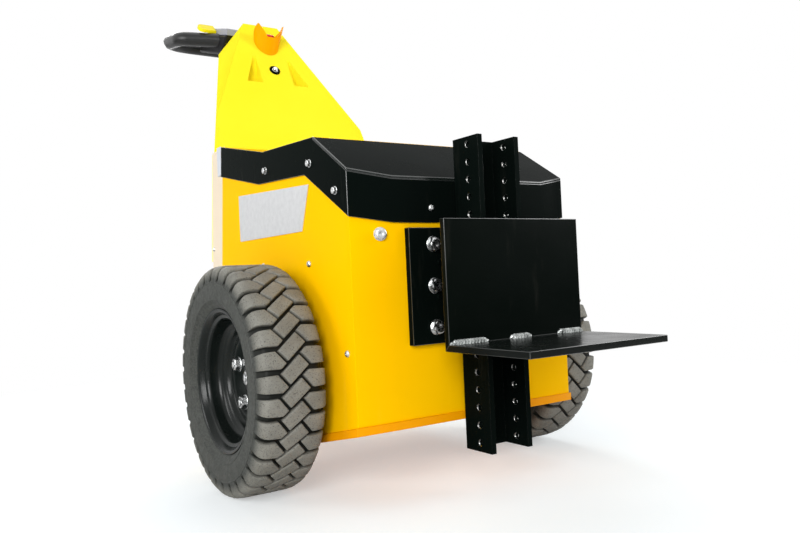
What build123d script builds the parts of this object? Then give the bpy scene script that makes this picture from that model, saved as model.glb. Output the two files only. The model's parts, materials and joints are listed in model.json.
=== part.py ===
from build123d import *
import os
from math import atan, cos, degrees, hypot, sin

# Compact electric tow tractor, steered on foot by a loop handle at the back.
# Two drive wheels carry a folded steel body, a swivel castor carries its back,
# and a plate with a drilled mast carries an L shaped load bracket at the front.
# Millimetres. X is across (symmetric), +Y points to the handle, +Z is up.
# Sizes are measured from the drive axle (Y) and the floor (Z).
# The whole tractor is then moved along Y so that the origin is the middle of its length.

# Body, in plan
BODY_HALF = 222.0
NOSE_Y = 256.0
NOSE_HALF = 155.0
CORNER_Y = 238.0
BACK_TOP_Y = 271.0
BACK_LOW_Y = 302.0
BULKHEAD_Y = 266.0
SHEET = 4.0

# Body, from the side
BELLY_Z = 85.0
NOSE_Z = 120.0
BEVEL_Y = 100.0
FLOOR_THICK = 13.0
FLOOR_LIP = 3.0
HOOD_FRONT_Z = 505.5
CREST_Y = 138.0
CREST_Z = 580.5
DIP_Y = 64.0
DIP_Z = 589.0
TAIL_Z = 633.0
BACK_KNEE_Z = 380.0
LID = 4.0

# Bumper band round the hood
BAND_THICK = 3.0
BAND_DROP_TAIL = 61.0
BAND_DROP_DIP = 57.0
BAND_DROP_CREST = 57.0
BAND_DROP_FRONT = 74.0
BAND_DIP_SHIFT = 24.0
BAND_CREST_SHIFT = 37.0

# Drive wheels, a solid 15 x 4.5-8 industrial tyre
WHEEL_R = 192.5
TYRE_HALF = 56.0
TYRE_GAP = 19.5
TREAD_HALF = 50.0
CROWN_HALF = 26.0
SHOULDER_DROP = 5.0
BULGE_R = 152.0
BEAD_R = 117.0
BEAD_HALF = 43.0
LUG_COUNT = 34
LUG_GAP = 8.0
LUG_DEEP = 11.0
LUG_TURN_OUT = 0.725
LUG_TURN_IN = 0.61
FLANGE_R = 121.0
FLANGE_OUT = 3.5
FLANGE_LIP = 9.0
RIM_STEP = 13.0
BARREL_R = 102.0
WELL_R = 88.0
WELL_DEEP = 10.0
DISC_INSET = 3.5
DISC_THICK = 8.0
HUB_R = 62.0
HUB_BOSS_R = 26.0
SPIGOT_R = 22.0

# Axle housing and the heavy blocks inside the body
HOUSING_R = 44.0
HOUSING_FLANGE_R = 64.0
HOUSING_FLANGE = 10.0
ROLL_GAP = 5.0
RUN_GAP = 0.05
MOTOR_SIZE = (330.0, 150.0)
MOTOR_TOP = 300.0
BATTERY_SIZE = (340.0, 150.0)
BATTERY_TOP = 330.0
BATTERY_Y = 170.0

# Rear housing
TOWER_FRONT_HALF = 191.0
TOWER_BACK_HALF = 174.0
TOWER_LONG = 185.0
TOWER_SLANT = 0.128
TOWER_FLOOR_Z = 200.0
TOWER_TOP_Z = 633.0
TOWER_LIP = 30.0
NECK_FOOT_Z = 655.0
TRAY_DEEP = 16.5
TRAY_LOW_Z = 408.0

# Leaning neck, drawn on its front face: how far behind the face each section is,
# half its width at the foot, the distance up the face where it starts to taper,
# and half its width and its distance up the face at the top
NECK_FRONT_Y = 342.3
NECK_LEAN = 0.568
NECK_WALL = 4.0
NECK_SECTIONS = [
    # depth, foot half, taper from, top half, top
    (0.0, 186.0, 105.0, 46.0, 430.0),
    (98.0, 178.0, 40.0, 84.0, 414.0),
]
NECK_BOTTOM = 150.0
POCKET_IN = 41.0
POCKET_OUT = 81.0
POCKET_TOP_OUT = 47.0
POCKET_LOW = 232.8
POCKET_HIGH = 319.0
POCKET_DEEP = 43.0

# Stop button in its flared guard, on an axis that starts inside the neck's front face
STOP_UP = 350.6
STOP_INSIDE = 18.0
STOP_TILT = 38.0
GUARD_LOW_R = 29.0
GUARD_HIGH_R = 37.0
GUARD_LONG = 72.0
GUARD_WALL = 4.0
MOUTH_HALF = 12.0
MOUTH_FROM = 44.0
HORN_HALF = 32.4
HORN_FORWARD = 13.8
BUTTON_R = 17.0
BUTTON_REACH = 38.0
BUTTON_STEM_R = 11.0
BUTTON_CAP = 10.0
BUTTON_ROUND = 4.0

# Control pod and loop handle
POD_HALF = 80.0
POD_LONG = 153.0
POD_SLOPE = 0.32
POD_BACK_HIGH = 35.0
POD_SHARE = 0.6
POD_ROUND = 6.0
PANEL_HALF = 78.0
PANEL_LONG = 136.0
PANEL_SLOPE = 0.30
PANEL_THICK = 17.0
HANDLE_SIDE = 72.0
HANDLE_SPLAY = 0.83
HANDLE_GAP = 97.0
HANDLE_R = 16.0
HANDLE_SLOPE = 0.20
HANDLE_CORNER_R = 85.0
HANDLE_NECK_R = 60.0
HANDLE_ROOT = 23.0
HANDLE_ROOT_UP = 36.0
HANDLE_BURIED = 20.0
PADDLE_REACH = 44.0
PADDLE_LONG = 34.0
PADDLE_THICK = 9.0
PADDLE_ROUND = 14.0
PADDLE_ALONG = 84.0
PADDLE_UP = 12.5
PADDLE_TILT = 40.0

# Mount plate, mast and load bracket
PLATE_HALF = 135.0
PLATE_LOW_Z = 245.5
PLATE_HIGH_Z = 427.5
PLATE_THICK = 12.0
MAST_HALF = 41.8
MAST_DEEP = 61.6
MAST_WALL = 9.0
MAST_LOW_Z = 75.0
MAST_HIGH_Z = 567.0
HOLE_R = 5.0
HOLE_COUNT = 18
HOLE_PITCH = 27.4
HOLE_LOW_Z = 89.0
HOLE_EDGE = 25.6
BRACKET_HALF = 135.0
BRACKET_STAND = 18.0
BRACKET_THICK = 10.0
BRACKET_HIGH_Z = 434.0
SHELF_TOP_Z = 251.3
SHELF_LONG = 165.8
SLIDER_GAP = 0.4
SLIDER_WALL = 8.0
SLIDER_HIGH_Z = 424.0

# Castor at the back
CASTOR_Y = 425.0
CASTOR_TRAIL = 40.0
CASTOR_R = 72.0
CASTOR_HALF = 20.0
CASTOR_CORE_R = 54.0
CASTOR_HUB_HALF = 24.0
CASTOR_AXLE_R = 6.0
CASTOR_AXLE_HEAD = 4.0
CASTOR_PLATE = (110.0, 90.0, 8.0)
CASTOR_RACE_R = 36.0
CASTOR_RACE = 14.0
RACE_GAP = 0.3
FORK_WALL = 5.0
FORK_HALF = 30.0
KINGPIN_R = 8.0

# Blank sign plates on the sides, as corners in Y and Z
SIGN_THICK = 1.5
SIGN_BACK_Y = 190.0
SIGN_FRONT_LOW_Y = 82.0
SIGN_FRONT_TOP_Y = 112.0
SIGN_LOW_Z = 436.0
SIGN_FRONT_TOP_Z = 511.0
SIGN_BACK_TOP_Z = 526.0

# Places that follow from these sizes
WIDE = 2000.0
TYRE_X = BODY_HALF + TYRE_GAP + TYRE_HALF
MAST_BACK_Y = -NOSE_Y - PLATE_THICK
MAST_FRONT_Y = MAST_BACK_Y - MAST_DEEP
BRACKET_BACK_Y = MAST_FRONT_Y - BRACKET_STAND
BRACKET_FRONT_Y = BRACKET_BACK_Y - BRACKET_THICK
SHELF_FRONT_Y = BRACKET_FRONT_Y - SHELF_LONG
HOLE_Y = MAST_FRONT_Y + HOLE_EDGE
LEAN_ANGLE = atan(NECK_LEAN)


def neck_point(depth, up):
    """The Y and Z of a point behind the neck's front face and up along it."""
    y = NECK_FRONT_Y + up * sin(LEAN_ANGLE) + depth * cos(LEAN_ANGLE)
    z = TOWER_TOP_Z + up * cos(LEAN_ANGLE) - depth * sin(LEAN_ANGLE)
    return y, z


NECK_END_HIGH = neck_point(NECK_SECTIONS[0][0], NECK_SECTIONS[0][4])
NECK_END_LOW = neck_point(NECK_SECTIONS[1][0], NECK_SECTIONS[1][4])
POD_TOP_Y = NECK_END_LOW[0] + POD_SHARE * (NECK_END_HIGH[0] - NECK_END_LOW[0])
POD_TOP_Z = NECK_END_LOW[1] + POD_SHARE * (NECK_END_HIGH[1] - NECK_END_LOW[1])
POD_BACK_Y = NECK_END_LOW[0] + POD_LONG
POD_BACK_Z = NECK_END_LOW[1] + POD_SLOPE * POD_LONG
HANDLE_HALF = POD_HALF + HANDLE_SIDE
HANDLE_BACK_Y = POD_BACK_Y + HANDLE_GAP
HANDLE_ROOT_Y = NECK_END_LOW[0] + HANDLE_ROOT
HANDLE_ROOT_Z = NECK_END_LOW[1] + POD_SLOPE * HANDLE_ROOT + HANDLE_ROOT_UP
MIDDLE_Y = (HANDLE_BACK_Y + HANDLE_R + SHELF_FRONT_Y) / 2
os.makedirs("parts", exist_ok=True)


def save(node, shape):
    """Write one node, moved from the axle datum to the middle of the tractor."""
    export_step(Pos(0, -MIDDLE_Y, 0) * shape, f"parts/{node}.step")


def plan_prism(grow, low, high):
    """The body's faceted outline, grown outwards, as a prism between two heights."""
    outline = Polyline(
        (-BODY_HALF, WIDE), (-BODY_HALF, -CORNER_Y), (-NOSE_HALF, -NOSE_Y),
        (NOSE_HALF, -NOSE_Y), (BODY_HALF, -CORNER_Y), (BODY_HALF, WIDE), close=True)
    face = make_face(outline)
    if grow:
        face = offset(face, amount=grow, kind=Kind.INTERSECTION)
    return Pos(0, 0, low) * extrude(face, amount=high - low)


def side_prism(points, half):
    """A side view outline, given as (y, z) points, as a prism across the tractor."""
    face = make_face(Polyline([(y, z) for y, z in points], close=True))
    return extrude(Plane.YZ * face, amount=half, both=True)


def tube_x(radius, x_from, x_to):
    """A cylinder along X at the drive axle."""
    middle = (x_from + x_to) / 2
    return Pos(middle, 0, WHEEL_R) * Rot(0, 90, 0) * Cylinder(radius, abs(x_to - x_from))


def block(x_half, y_from, y_to, z_from, z_to):
    """A box centred on X."""
    place = Pos(0, (y_from + y_to) / 2, (z_from + z_to) / 2)
    return place * Box(2 * x_half, y_to - y_from, z_to - z_from)


# Base plate, level under the batteries and rising to the nose
def belly(rise):
    """The underside from the nose to the back, raised by the given height."""
    front = NOSE_Y + FLOOR_LIP
    return [(-front, NOSE_Z + rise), (-BEVEL_Y, BELLY_Z + rise), (BACK_LOW_Y, BELLY_Z + rise)]


floor_profile = belly(0) + list(reversed(belly(FLOOR_THICK)))
base_plate = side_prism(floor_profile, WIDE) & plan_prism(FLOOR_LIP, 0, CREST_Z)
save("base_plate", base_plate)

# Side and front sheet, folded to the plan outline and open at the back
TOP_LINE = [(-NOSE_Y, HOOD_FRONT_Z), (-CREST_Y, CREST_Z), (DIP_Y, DIP_Z), (BACK_TOP_Y, TAIL_Z)]
HOOD_RISE = (CREST_Z - HOOD_FRONT_Z) / (NOSE_Y - CREST_Y)


def top_line(rise, grow=0.0):
    """The body's upper edge, raised, with its front end moved out to cover the band."""
    front = (-NOSE_Y - grow, HOOD_FRONT_Z - grow * HOOD_RISE)
    return [(y, z + rise) for y, z in [front] + TOP_LINE[1:]]


walls = plan_prism(0, 0, WIDE) - plan_prism(-SHEET, 0, WIDE)
body_space = belly(FLOOR_THICK) + [(BACK_LOW_Y, BACK_KNEE_Z)] + list(reversed(top_line(0)))
body_shell = walls & side_prism(body_space, WIDE)
for side in (-1, 1):
    body_shell -= tube_x(HOUSING_R + RUN_GAP, side * (BODY_HALF - 2 * SHEET), side * (BODY_HALF + SHEET))
save("body_shell", body_shell)

# Bulkhead that closes the body's back
bulkhead_front_y = BULKHEAD_Y - SHEET
body_back = block(BODY_HALF - SHEET, bulkhead_front_y, BULKHEAD_Y, 0, WIDE) & side_prism(body_space, WIDE)
save("body_back", body_back)

# Lid over the batteries and the folded black hood in front of it
lid_line = top_line(0)[1:]
lid_profile = lid_line + list(reversed(top_line(LID)[1:]))
tower_notch = block(TOWER_FRONT_HALF, BULKHEAD_Y, WIDE, 0, TOWER_TOP_Z)
save("deck_lid", side_prism(lid_profile, BODY_HALF) - tower_notch)
hood_profile = top_line(0, BAND_THICK)[:2] + list(reversed(top_line(LID, BAND_THICK)[:2]))
hood_panel = side_prism(hood_profile, WIDE) & plan_prism(BAND_THICK, 0, WIDE)
save("hood_panel", hood_panel)

# Bumper band, bent to the side profile and wrapped round the outline
BAND_LOW = [
    # along, height
    (-NOSE_Y - BAND_THICK, HOOD_FRONT_Z + LID - BAND_DROP_FRONT),
    (-CREST_Y + BAND_CREST_SHIFT, CREST_Z + LID - BAND_DROP_CREST),
    (DIP_Y + BAND_DIP_SHIFT, DIP_Z + LID - BAND_DROP_DIP),
    (BACK_TOP_Y + BAND_DROP_TAIL * (BACK_LOW_Y - BACK_TOP_Y) / (TAIL_Z - BACK_KNEE_Z),
     TAIL_Z + LID - BAND_DROP_TAIL)]
band_sides = plan_prism(BAND_THICK, 0, WIDE) - plan_prism(0, 0, WIDE)
band_profile = top_line(LID, BAND_THICK) + list(reversed(BAND_LOW))
bumper_band = band_sides & side_prism(band_profile, WIDE)
bumper_band -= hood_panel
save("bumper_band", bumper_band)

# Blank sign plates on the body's sides
sign_points = [
    (-SIGN_FRONT_LOW_Y, SIGN_LOW_Z), (SIGN_BACK_Y, SIGN_LOW_Z),
    (SIGN_BACK_Y, SIGN_BACK_TOP_Z), (-SIGN_FRONT_TOP_Y, SIGN_FRONT_TOP_Z)]
signs = side_prism(sign_points, BODY_HALF + SIGN_THICK) - side_prism(sign_points, BODY_HALF)
save("sign_plates", signs)

# Leaning neck: a tapered moulding over its sections, hollow, with two screw pockets
NECK_FACE = Plane(
    origin=(0, NECK_FRONT_Y, TOWER_TOP_Z), x_dir=(1, 0, 0),
    z_dir=(0, -cos(LEAN_ANGLE), sin(LEAN_ANGLE)))


def neck_section(depth, foot_half, taper_from, top_half, top):
    """One section of the neck, parallel to its front face."""
    outline = Polyline(
        (-foot_half, -NECK_BOTTOM), (-foot_half, taper_from), (-top_half, top),
        (top_half, top), (foot_half, taper_from), (foot_half, -NECK_BOTTOM), close=True)
    return NECK_FACE.offset(-depth) * make_face(outline)


def neck_loft(wall):
    """The neck's form, or with a wall the space inside it, open at the back."""
    sections = []
    for depth, foot_half, taper_from, top_half, top in NECK_SECTIONS:
        sections.append(neck_section(
            depth + wall, foot_half - wall, taper_from, top_half - wall, top - wall))
    return loft(sections, ruled=True)


def pocket(side, wall):
    """A screw pocket with a level floor and an upright back, or the same grown by a wall."""
    outline = Polyline(
        (side * (POCKET_IN - wall), POCKET_LOW - wall), (side * (POCKET_OUT + wall), POCKET_LOW - wall),
        (side * (POCKET_TOP_OUT + wall), POCKET_HIGH + wall), (side * (POCKET_IN - wall), POCKET_HIGH + wall),
        close=True)
    column = extrude(NECK_FACE * make_face(outline), amount=2 * POCKET_DEEP, both=True)
    floor_y, floor_z = neck_point(0, POCKET_LOW)
    return column & block(WIDE, -WIDE, floor_y + POCKET_DEEP + wall, floor_z - wall, WIDE)


neck_form = neck_loft(0) - block(WIDE, -WIDE, WIDE, -WIDE, NECK_FOOT_Z)
neck_space = neck_loft(NECK_WALL)
neck_cover = neck_form - neck_space
for side in (-1, 1):
    neck_cover += pocket(side, NECK_WALL) & neck_form
    neck_cover -= pocket(side, 0)
save("neck_cover", neck_cover)
neck_depth = NECK_SECTIONS[-1][0]
back_slab = extrude(NECK_FACE.offset(-neck_depth) * Rectangle(WIDE, WIDE), amount=NECK_WALL)
save("neck_back", neck_form & neck_space & back_slab)


# Rear housing: floor, drawn-in sides, slanted back, a raised top that the neck opens into
# and a front lip on the bulkhead
def tower_back(z):
    """The Y of the housing's slanted back at a height."""
    return BULKHEAD_Y + TOWER_LONG + TOWER_SLANT * (TOWER_TOP_Z - z)


def tower_front(z):
    """The Y of the housing's front above the lid, where it carries on the neck's face."""
    return NECK_FRONT_Y + NECK_LEAN * (z - TOWER_TOP_Z)


def tower_form(wall):
    """The housing's form, or with a wall the space inside it, open at the bulkhead."""
    low = TOWER_FLOOR_Z + wall
    middle = TOWER_TOP_Z - wall
    high = NECK_FOOT_Z - wall
    profile = [
        (BULKHEAD_Y, low), (tower_back(low) - wall, low), (tower_back(high) - wall, high),
        (tower_front(high) + wall, high), (tower_front(middle) + wall, middle), (BULKHEAD_Y, middle)]
    front_half = TOWER_FRONT_HALF - wall
    back_half = TOWER_BACK_HALF - wall
    back_y = tower_back(TOWER_FLOOR_Z)
    plan = Polyline(
        (-front_half, BULKHEAD_Y), (-back_half, back_y), (back_half, back_y),
        (front_half, BULKHEAD_Y), close=True)
    return side_prism(profile, WIDE) & extrude(make_face(plan), amount=WIDE)


housing = tower_form(0) - tower_form(SHEET)
front_lip = block(WIDE, BULKHEAD_Y, BULKHEAD_Y + SHEET, TOWER_TOP_Z - TOWER_LIP, TOWER_TOP_Z)
housing += front_lip & tower_form(0)
neck_mouth = block(WIDE, -WIDE, tower_back(NECK_FOOT_Z) - SHEET, NECK_FOOT_Z - 2 * SHEET, WIDE)
save("rear_housing", housing - (neck_mouth & neck_space))


def tray(wall):
    """The tray's form behind the housing, or with a wall the hollow in its front."""
    low = TRAY_LOW_Z + wall
    high = NECK_FOOT_Z - wall
    deep = TRAY_DEEP - wall
    profile = [
        (tower_back(low), low), (tower_back(low) + deep, low),
        (tower_back(high) + deep, high), (tower_back(high), high)]
    return side_prism(profile, TOWER_BACK_HALF - wall)


save("rear_panel", tray(0) - tray(SHEET))

# Stop button and the flared cup that guards it, cut to a mouth in front and two horns
stop_place = NECK_FACE * Pos(0, STOP_UP, -STOP_INSIDE) * Rot(-STOP_TILT, 0, 0)
cup_middle = Pos(0, 0, GUARD_LONG / 2)
cup = cup_middle * Cone(GUARD_LOW_R, GUARD_HIGH_R, GUARD_LONG)
cup -= cup_middle * Cone(GUARD_LOW_R - GUARD_WALL, GUARD_HIGH_R - GUARD_WALL, GUARD_LONG)
mouth = Polyline(
    (-MOUTH_HALF, MOUTH_FROM), (MOUTH_HALF, MOUTH_FROM), (HORN_HALF, GUARD_LONG), (HORN_HALF, WIDE),
    (-HORN_HALF, WIDE), (-HORN_HALF, GUARD_LONG), close=True)
cup -= extrude(Plane.XZ * make_face(mouth), amount=WIDE)
behind = Polyline(
    (-HORN_FORWARD, GUARD_LONG), (WIDE, GUARD_LONG - HORN_FORWARD - WIDE), (WIDE, WIDE),
    (-HORN_FORWARD, WIDE), close=True)
cup -= extrude(Plane.YZ * make_face(behind), amount=WIDE, both=True)
save("stop_guard", stop_place * cup - neck_form)
cap = Pos(0, 0, BUTTON_REACH + BUTTON_CAP / 2) * Cylinder(BUTTON_R, BUTTON_CAP)
cap = fillet(cap.edges().sort_by(Axis.Z)[-1], BUTTON_ROUND)
stem = Pos(0, 0, BUTTON_REACH / 2) * Cylinder(BUTTON_STEM_R, BUTTON_REACH)
save("stop_button", stop_place * (stem + cap) - neck_form)

# Control pod on the neck's end, with its grey top panel
pod_points = [
    NECK_END_LOW, (POD_BACK_Y, POD_BACK_Z), (POD_BACK_Y, POD_BACK_Z + POD_BACK_HIGH),
    (POD_TOP_Y + PANEL_LONG, POD_TOP_Z + PANEL_SLOPE * PANEL_LONG), (POD_TOP_Y, POD_TOP_Z)]
head_pod = side_prism(pod_points, POD_HALF)
pod_sides = head_pod.faces().filter_by(Plane.YZ)
head_pod = fillet(pod_sides.edges(), POD_ROUND)
save("head_pod", head_pod)
panel_low = [(POD_TOP_Y, POD_TOP_Z), (POD_TOP_Y + PANEL_LONG, POD_TOP_Z + PANEL_SLOPE * PANEL_LONG)]
panel_high = [(y, z + PANEL_THICK) for y, z in panel_low]
save("top_panel", side_prism(panel_low + list(reversed(panel_high)), PANEL_HALF))

# Throttle paddles, one rounded wing each side of the panel
paddle_z = POD_TOP_Z + PANEL_SLOPE * PADDLE_ALONG + PADDLE_UP
paddles = Part()
for side in (-1, 1):
    wing = Box(PADDLE_REACH, PADDLE_LONG, PADDLE_THICK)
    tip_edges = wing.edges().filter_by(Axis.Z).group_by(Axis.X)[-1 if side > 0 else 0]
    wing = fillet(tip_edges, PADDLE_ROUND)
    place = Pos(side * (PANEL_HALF + PADDLE_REACH / 2), POD_TOP_Y + PADDLE_ALONG, paddle_z)
    paddles += place * Rot(PADDLE_TILT, 0, 0) * wing
save("throttle_paddles", paddles)

# Loop handle, a round tube that leaves the pod's sides and runs round behind it
handle_long = (HANDLE_BACK_Y - HANDLE_ROOT_Y) * hypot(1, HANDLE_SLOPE)
splay = HANDLE_SIDE * HANDLE_SPLAY
root_x = POD_HALF - HANDLE_BURIED
root_y = -HANDLE_BURIED * HANDLE_SPLAY
handle_path = FilletPolyline(
    (-root_x, root_y), (-HANDLE_HALF, splay), (-HANDLE_HALF, handle_long),
    (HANDLE_HALF, handle_long), (HANDLE_HALF, splay), (root_x, root_y),
    radius=[HANDLE_NECK_R, HANDLE_CORNER_R, HANDLE_CORNER_R, HANDLE_NECK_R])
handle_plane = Pos(0, HANDLE_ROOT_Y, HANDLE_ROOT_Z) * Rot(degrees(atan(HANDLE_SLOPE)), 0, 0)
root_plane = Plane(origin=handle_path @ 0, z_dir=handle_path % 0)
handle_loop = handle_plane * sweep(root_plane * Circle(HANDLE_R), path=handle_path)
handle_loop -= block(POD_HALF, -WIDE, POD_BACK_Y, 0, WIDE)
save("handle_loop", handle_loop)

# Mount plate on the body's nose and the mast channel with its two rows of holes
save("mount_plate", block(PLATE_HALF, MAST_BACK_Y, -NOSE_Y, PLATE_LOW_Z, PLATE_HIGH_Z))
mast = block(MAST_HALF, MAST_FRONT_Y, MAST_BACK_Y, MAST_LOW_Z, MAST_HIGH_Z)
mast -= block(MAST_HALF - MAST_WALL, MAST_FRONT_Y, MAST_BACK_Y - MAST_WALL, MAST_LOW_Z, MAST_HIGH_Z)
hole_heights = [HOLE_LOW_Z + HOLE_PITCH * i for i in range(HOLE_COUNT)]
mast -= [Pos(0, HOLE_Y, z) * Rot(0, 90, 0) * Cylinder(HOLE_R, 3 * MAST_HALF) for z in hole_heights]
save("mast", mast)

# Load bracket: a slider in the mast, and the upright plate and the shelf with a mitred joint
slider_half = MAST_HALF - MAST_WALL - SLIDER_GAP
slider_back_y = MAST_BACK_Y - MAST_WALL - SLIDER_GAP
slider = block(slider_half, BRACKET_BACK_Y, slider_back_y, SHELF_TOP_Z, SLIDER_HIGH_Z)
slider -= block(slider_half - SLIDER_WALL, BRACKET_BACK_Y + SLIDER_WALL, slider_back_y, 0, WIDE)
save("bracket_slider", slider)
shelf_low_z = SHELF_TOP_Z - BRACKET_THICK
upright_points = [
    (BRACKET_FRONT_Y, SHELF_TOP_Z), (BRACKET_BACK_Y, shelf_low_z),
    (BRACKET_BACK_Y, BRACKET_HIGH_Z), (BRACKET_FRONT_Y, BRACKET_HIGH_Z)]
save("bracket_plate", side_prism(upright_points, BRACKET_HALF))
shelf_points = [
    (SHELF_FRONT_Y, shelf_low_z), (BRACKET_BACK_Y, shelf_low_z),
    (BRACKET_FRONT_Y, SHELF_TOP_Z), (SHELF_FRONT_Y, SHELF_TOP_Z)]
save("bracket_shelf", side_prism(shelf_points, BRACKET_HALF))

# Axle housing through the body, and the drive motors and batteries as plain blocks
disc_out = TYRE_X - DISC_INSET
disc_in = disc_out - DISC_THICK
housing_end = BODY_HALF + HOUSING_FLANGE
axle_housing = tube_x(HOUSING_R, -housing_end, housing_end)
for side in (-1, 1):
    axle_housing += tube_x(HOUSING_FLANGE_R, side * BODY_HALF, side * housing_end)
    axle_housing += tube_x(SPIGOT_R, side * housing_end, side * disc_in)
save("axle_housing", axle_housing)
floor_top = BELLY_Z + FLOOR_THICK
motor = block(MOTOR_SIZE[0] / 2, -MOTOR_SIZE[1] / 2, MOTOR_SIZE[1] / 2, floor_top, MOTOR_TOP)
motor -= tube_x(HOUSING_R, -WIDE, WIDE)
save("motor_block", motor)
battery_from = BATTERY_Y - BATTERY_SIZE[1] / 2
battery_to = BATTERY_Y + BATTERY_SIZE[1] / 2
save("battery_block", block(BATTERY_SIZE[0] / 2, battery_from, battery_to, floor_top, BATTERY_TOP))


# Drive wheels: hub, deep dished rim and solid tyre with notched shoulders
def turned(points):
    """A closed (x, radius) outline turned round the drive axle."""
    face = make_face(Polyline([(x, r) for x, r in points], close=True))
    ring = revolve(Plane.XZ * face, axis=Axis.X)
    return Pos(0, 0, WHEEL_R) * ring


shoulder_r = WHEEL_R - SHOULDER_DROP
tyre_half = [(CROWN_HALF, WHEEL_R), (TREAD_HALF, shoulder_r), (TYRE_HALF, BULGE_R),
             (BEAD_HALF, FLANGE_R), (BEAD_HALF, BEAD_R)]
tyre_points = [(TYRE_X + x, r) for x, r in tyre_half]
tyre_points += [(TYRE_X - x, r) for x, r in reversed(tyre_half)]
notch_long = TYRE_HALF - CROWN_HALF
notches = []
for row, turn in ((1, LUG_TURN_OUT), (-1, LUG_TURN_IN)):
    for i in range(LUG_COUNT):
        angle = 360 * (i + turn) / LUG_COUNT
        notch = Box(notch_long, LUG_GAP, 2 * LUG_DEEP)
        at = Pos(TYRE_X + row * (CROWN_HALF + notch_long / 2), 0, WHEEL_R)
        notches.append(at * Rot(angle, 0, 0) * Pos(0, 0, WHEEL_R) * notch)
tyre = turned(tyre_points) - notches
outer = TYRE_X + BEAD_HALF
inner = TYRE_X - BEAD_HALF
rim = turned([
    (outer + FLANGE_OUT, FLANGE_R), (outer + FLANGE_OUT, FLANGE_R - FLANGE_LIP),
    (outer - RIM_STEP, BARREL_R), (disc_out + WELL_DEEP, WELL_R), (disc_out, WELL_R - WELL_DEEP),
    (disc_out, HUB_BOSS_R), (disc_in, HUB_BOSS_R), (disc_in, WELL_R - WELL_DEEP), (disc_in - WELL_DEEP, WELL_R),
    (inner + RIM_STEP, BARREL_R), (inner - FLANGE_OUT, FLANGE_R - FLANGE_LIP),
    (inner - FLANGE_OUT, FLANGE_R), (inner, FLANGE_R), (inner, BEAD_R), (outer, BEAD_R), (outer, FLANGE_R)])
hub_in = BODY_HALF + HOUSING_FLANGE + ROLL_GAP
hub = turned([
    (disc_out, 0), (disc_out, HUB_BOSS_R), (disc_in, HUB_BOSS_R), (disc_in, HUB_R),
    (hub_in, HUB_R), (hub_in, SPIGOT_R + RUN_GAP), (disc_in, SPIGOT_R + RUN_GAP), (disc_in, 0)])
for name, side in (("left", -1), ("right", 1)):
    for node, shape in (("tyre", tyre), ("rim", rim), ("hub", hub)):
        save(f"{node}_{name}", shape if side > 0 else mirror(shape, about=Plane.YZ))

# Swivel castor under the rear housing
plate_low_z = TOWER_FLOOR_Z - CASTOR_PLATE[2]
race_low_z = plate_low_z - CASTOR_RACE
crown_low_z = race_low_z - FORK_WALL
castor_plate = block(CASTOR_PLATE[0] / 2, CASTOR_Y - CASTOR_PLATE[1] / 2,
                     CASTOR_Y + CASTOR_PLATE[1] / 2, plate_low_z, TOWER_FLOOR_Z)
castor_plate += Pos(0, CASTOR_Y, (plate_low_z + crown_low_z) / 2) * Cylinder(KINGPIN_R, plate_low_z - crown_low_z)
save("castor_plate", castor_plate)
wheel_y = CASTOR_Y + CASTOR_TRAIL
race_high_z = plate_low_z - RACE_GAP
race = Pos(0, CASTOR_Y, (race_high_z + race_low_z) / 2) * Cylinder(CASTOR_RACE_R, race_high_z - race_low_z)
fork = race + block(FORK_HALF, CASTOR_Y - CASTOR_RACE_R, wheel_y, crown_low_z, race_low_z)
leg_round = 3 * CASTOR_AXLE_R
for side in (-1, 1):
    leg = Polyline(
        (CASTOR_Y - CASTOR_RACE_R, race_low_z), (wheel_y, race_low_z), (wheel_y + leg_round, CASTOR_R),
        (wheel_y, CASTOR_R - leg_round), (wheel_y - leg_round, CASTOR_R), close=True)
    sheet = extrude(Plane.YZ * make_face(leg), amount=FORK_WALL)
    fork += Pos(FORK_HALF - FORK_WALL if side > 0 else -FORK_HALF, 0, 0) * sheet
fork -= Pos(0, CASTOR_Y, 0) * Cylinder(KINGPIN_R + RUN_GAP, WIDE)
axle_place = Pos(0, wheel_y, CASTOR_R) * Rot(0, 90, 0)
fork -= axle_place * Cylinder(CASTOR_AXLE_R, WIDE)
save("castor_fork", fork)
castor_axle = axle_place * Cylinder(CASTOR_AXLE_R, 2 * (FORK_HALF + CASTOR_AXLE_HEAD))
for side in (-1, 1):
    head = axle_place * Pos(0, 0, side * (FORK_HALF + CASTOR_AXLE_HEAD / 2))
    castor_axle += head * Cylinder(2 * CASTOR_AXLE_R, CASTOR_AXLE_HEAD)
save("castor_axle", castor_axle)
core = axle_place * (Cylinder(CASTOR_CORE_R, 2 * CASTOR_HALF) + Cylinder(3 * CASTOR_AXLE_R, 2 * CASTOR_HUB_HALF))
core -= axle_place * Cylinder(CASTOR_AXLE_R + RUN_GAP, WIDE)
save("castor_core", core)
tread = Cylinder(CASTOR_R, 2 * CASTOR_HALF) - Cylinder(CASTOR_CORE_R, 2 * CASTOR_HALF)
save("castor_tyre", axle_place * tread)
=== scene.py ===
import json
import math

import bmesh
import bpy
from mathutils import Matrix, Vector


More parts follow.
